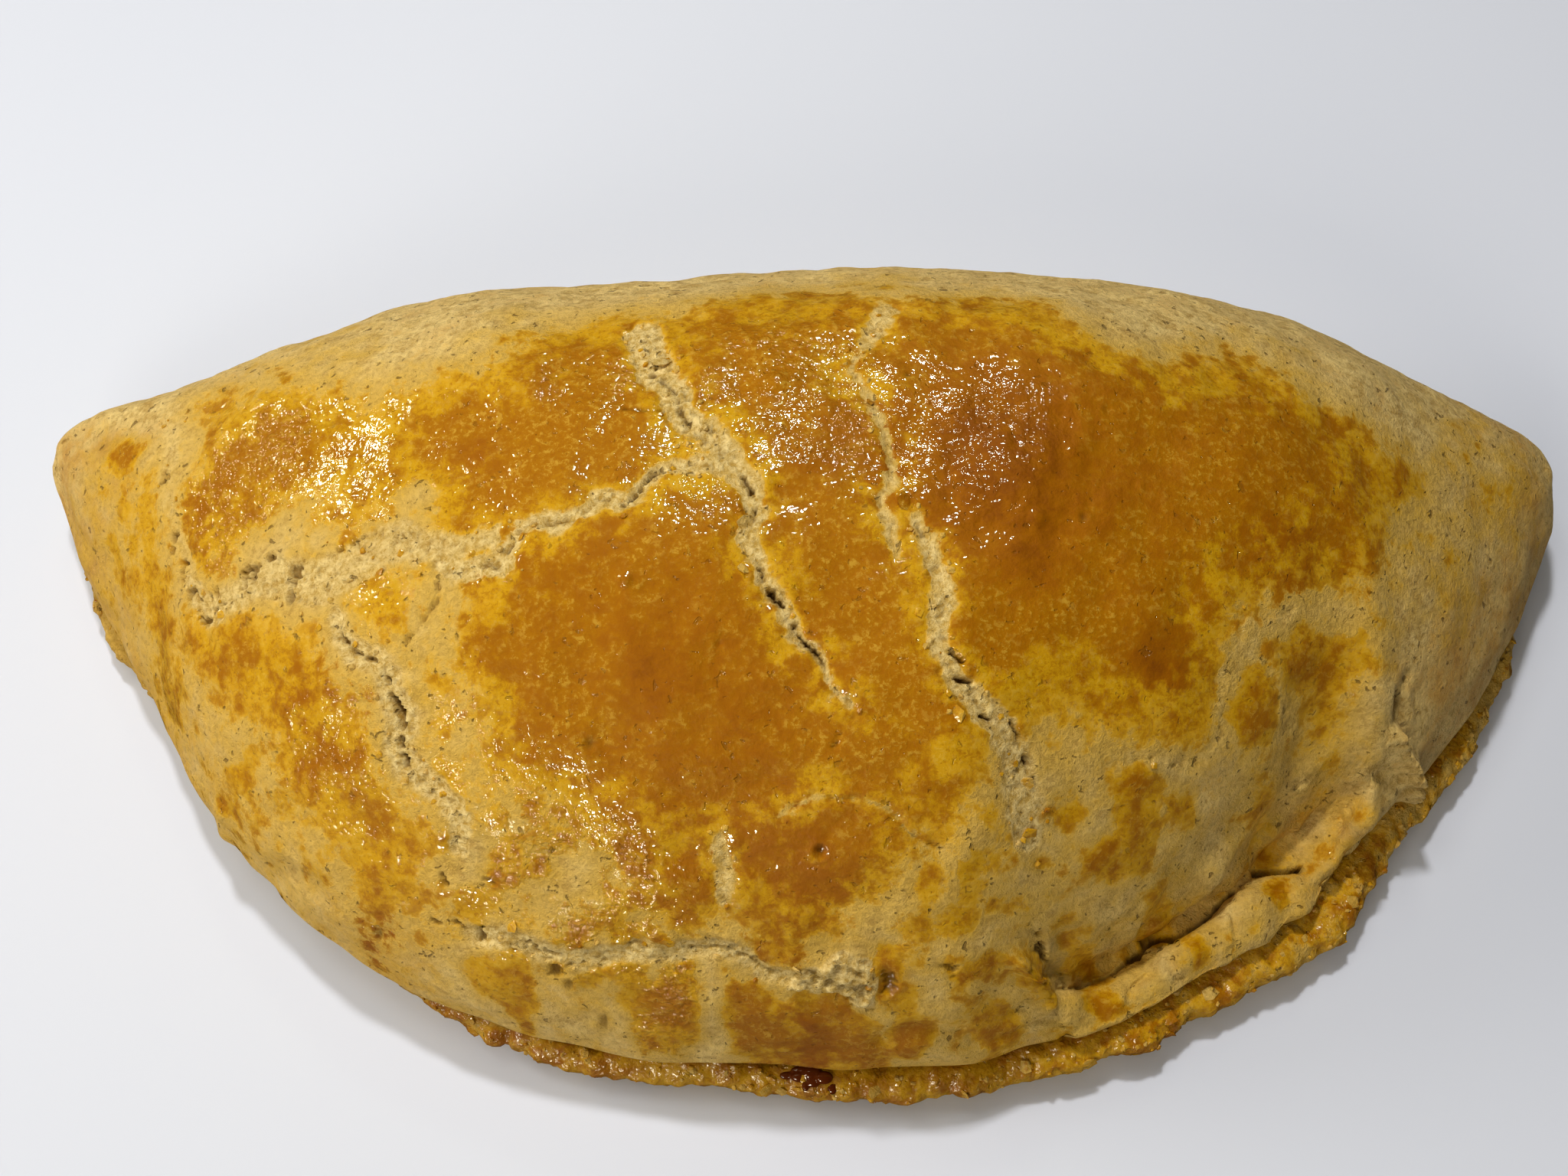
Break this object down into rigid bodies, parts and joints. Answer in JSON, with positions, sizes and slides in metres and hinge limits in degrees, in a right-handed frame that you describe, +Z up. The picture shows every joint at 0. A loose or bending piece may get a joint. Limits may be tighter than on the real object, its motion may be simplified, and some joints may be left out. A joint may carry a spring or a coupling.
{
  "type": "meat pie",
  "caption": "Whole half-moon meat pie: one shortcrust round folded over its filling, sealed along the curved front with a thin lip, glazed on top, flat underneath.",
  "frame": {"origin": "the middle of the pie's footprint, on the table it rests on", "axes": "+X along the pie from tip to tip, +Y from the sealed edge to the fold, +Z up"},
  "size_m": [0.1448, 0.0774, 0.0382],
  "materials": {
    "crust": "baked shortcrust, egg-glazed amber over pale dough"
  },
  "bodies": {
    "root": {"pastry": "crust"}
  },
  "joints": []
}
